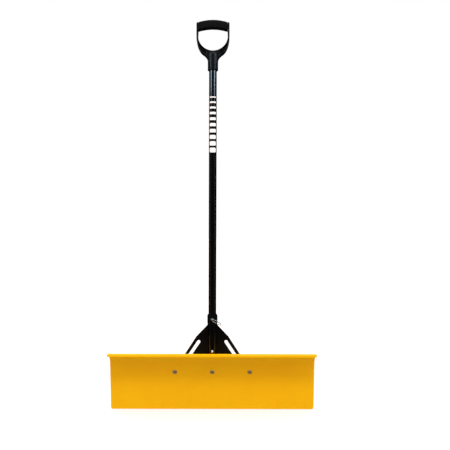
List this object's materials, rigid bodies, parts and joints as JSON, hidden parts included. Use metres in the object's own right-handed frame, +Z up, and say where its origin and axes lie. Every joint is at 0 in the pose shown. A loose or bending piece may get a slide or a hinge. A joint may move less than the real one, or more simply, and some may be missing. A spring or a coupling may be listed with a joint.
{
  "type": "snow pusher",
  "caption": "Hand snow pusher with a wide curved poly blade, a steel bracket, a pinned tube handle and a D-grip.",
  "frame": {"origin": "middle of the blade's scraping edge, on the ground", "axes": "+Z up along the handle, +X along the scraping edge, -Y towards the hollow front of the blade"},
  "size_m": [0.762, 0.0952, 1.454],
  "materials": {
    "yellow_poly": "satin",
    "black_powder_coat": "satin",
    "black_plastic": "satin",
    "soft_black_grip": "matte",
    "zinc_plate": "satin"
  },
  "bodies": {
    "pusher": {"blade": "yellow_poly", "bracket_plate": "black_powder_coat", "handle_saddle": "black_powder_coat", "handle_tube": "black_powder_coat", "grip_yoke": "black_plastic", "grip_pad": "soft_black_grip", "grip_screw": "zinc_plate", "handle_bolt": "zinc_plate", "handle_bolt_spacer": "zinc_plate", "handle_bolt_washer_front": "black_powder_coat", "handle_bolt_washer_rear": "zinc_plate", "handle_nut": "zinc_plate", "blade_bolt_left": "zinc_plate", "blade_bolt_centre": "zinc_plate", "blade_bolt_right": "zinc_plate", "blade_washer_left": "zinc_plate", "blade_washer_centre": "zinc_plate", "blade_washer_right": "zinc_plate", "blade_nut_left": "zinc_plate", "blade_nut_centre": "zinc_plate", "blade_nut_right": "zinc_plate"},
    "pin": {"lock_pin": "zinc_plate"},
    "bail": {"pin_bail": "zinc_plate"}
  },
  "joints": [
    {"name": "pin_pull", "type": "slide", "parent": "pusher", "child": "pin", "axis": [0, -1, 0], "range_m": [0, 0.06]},
    {"name": "bail_swing", "type": "hinge", "parent": "pin", "child": "bail", "pos_m": [0, -0.0574, 0.344], "axis": [-0.4772, 0, -0.8788], "range_deg": [-20, 200]}
  ]
}
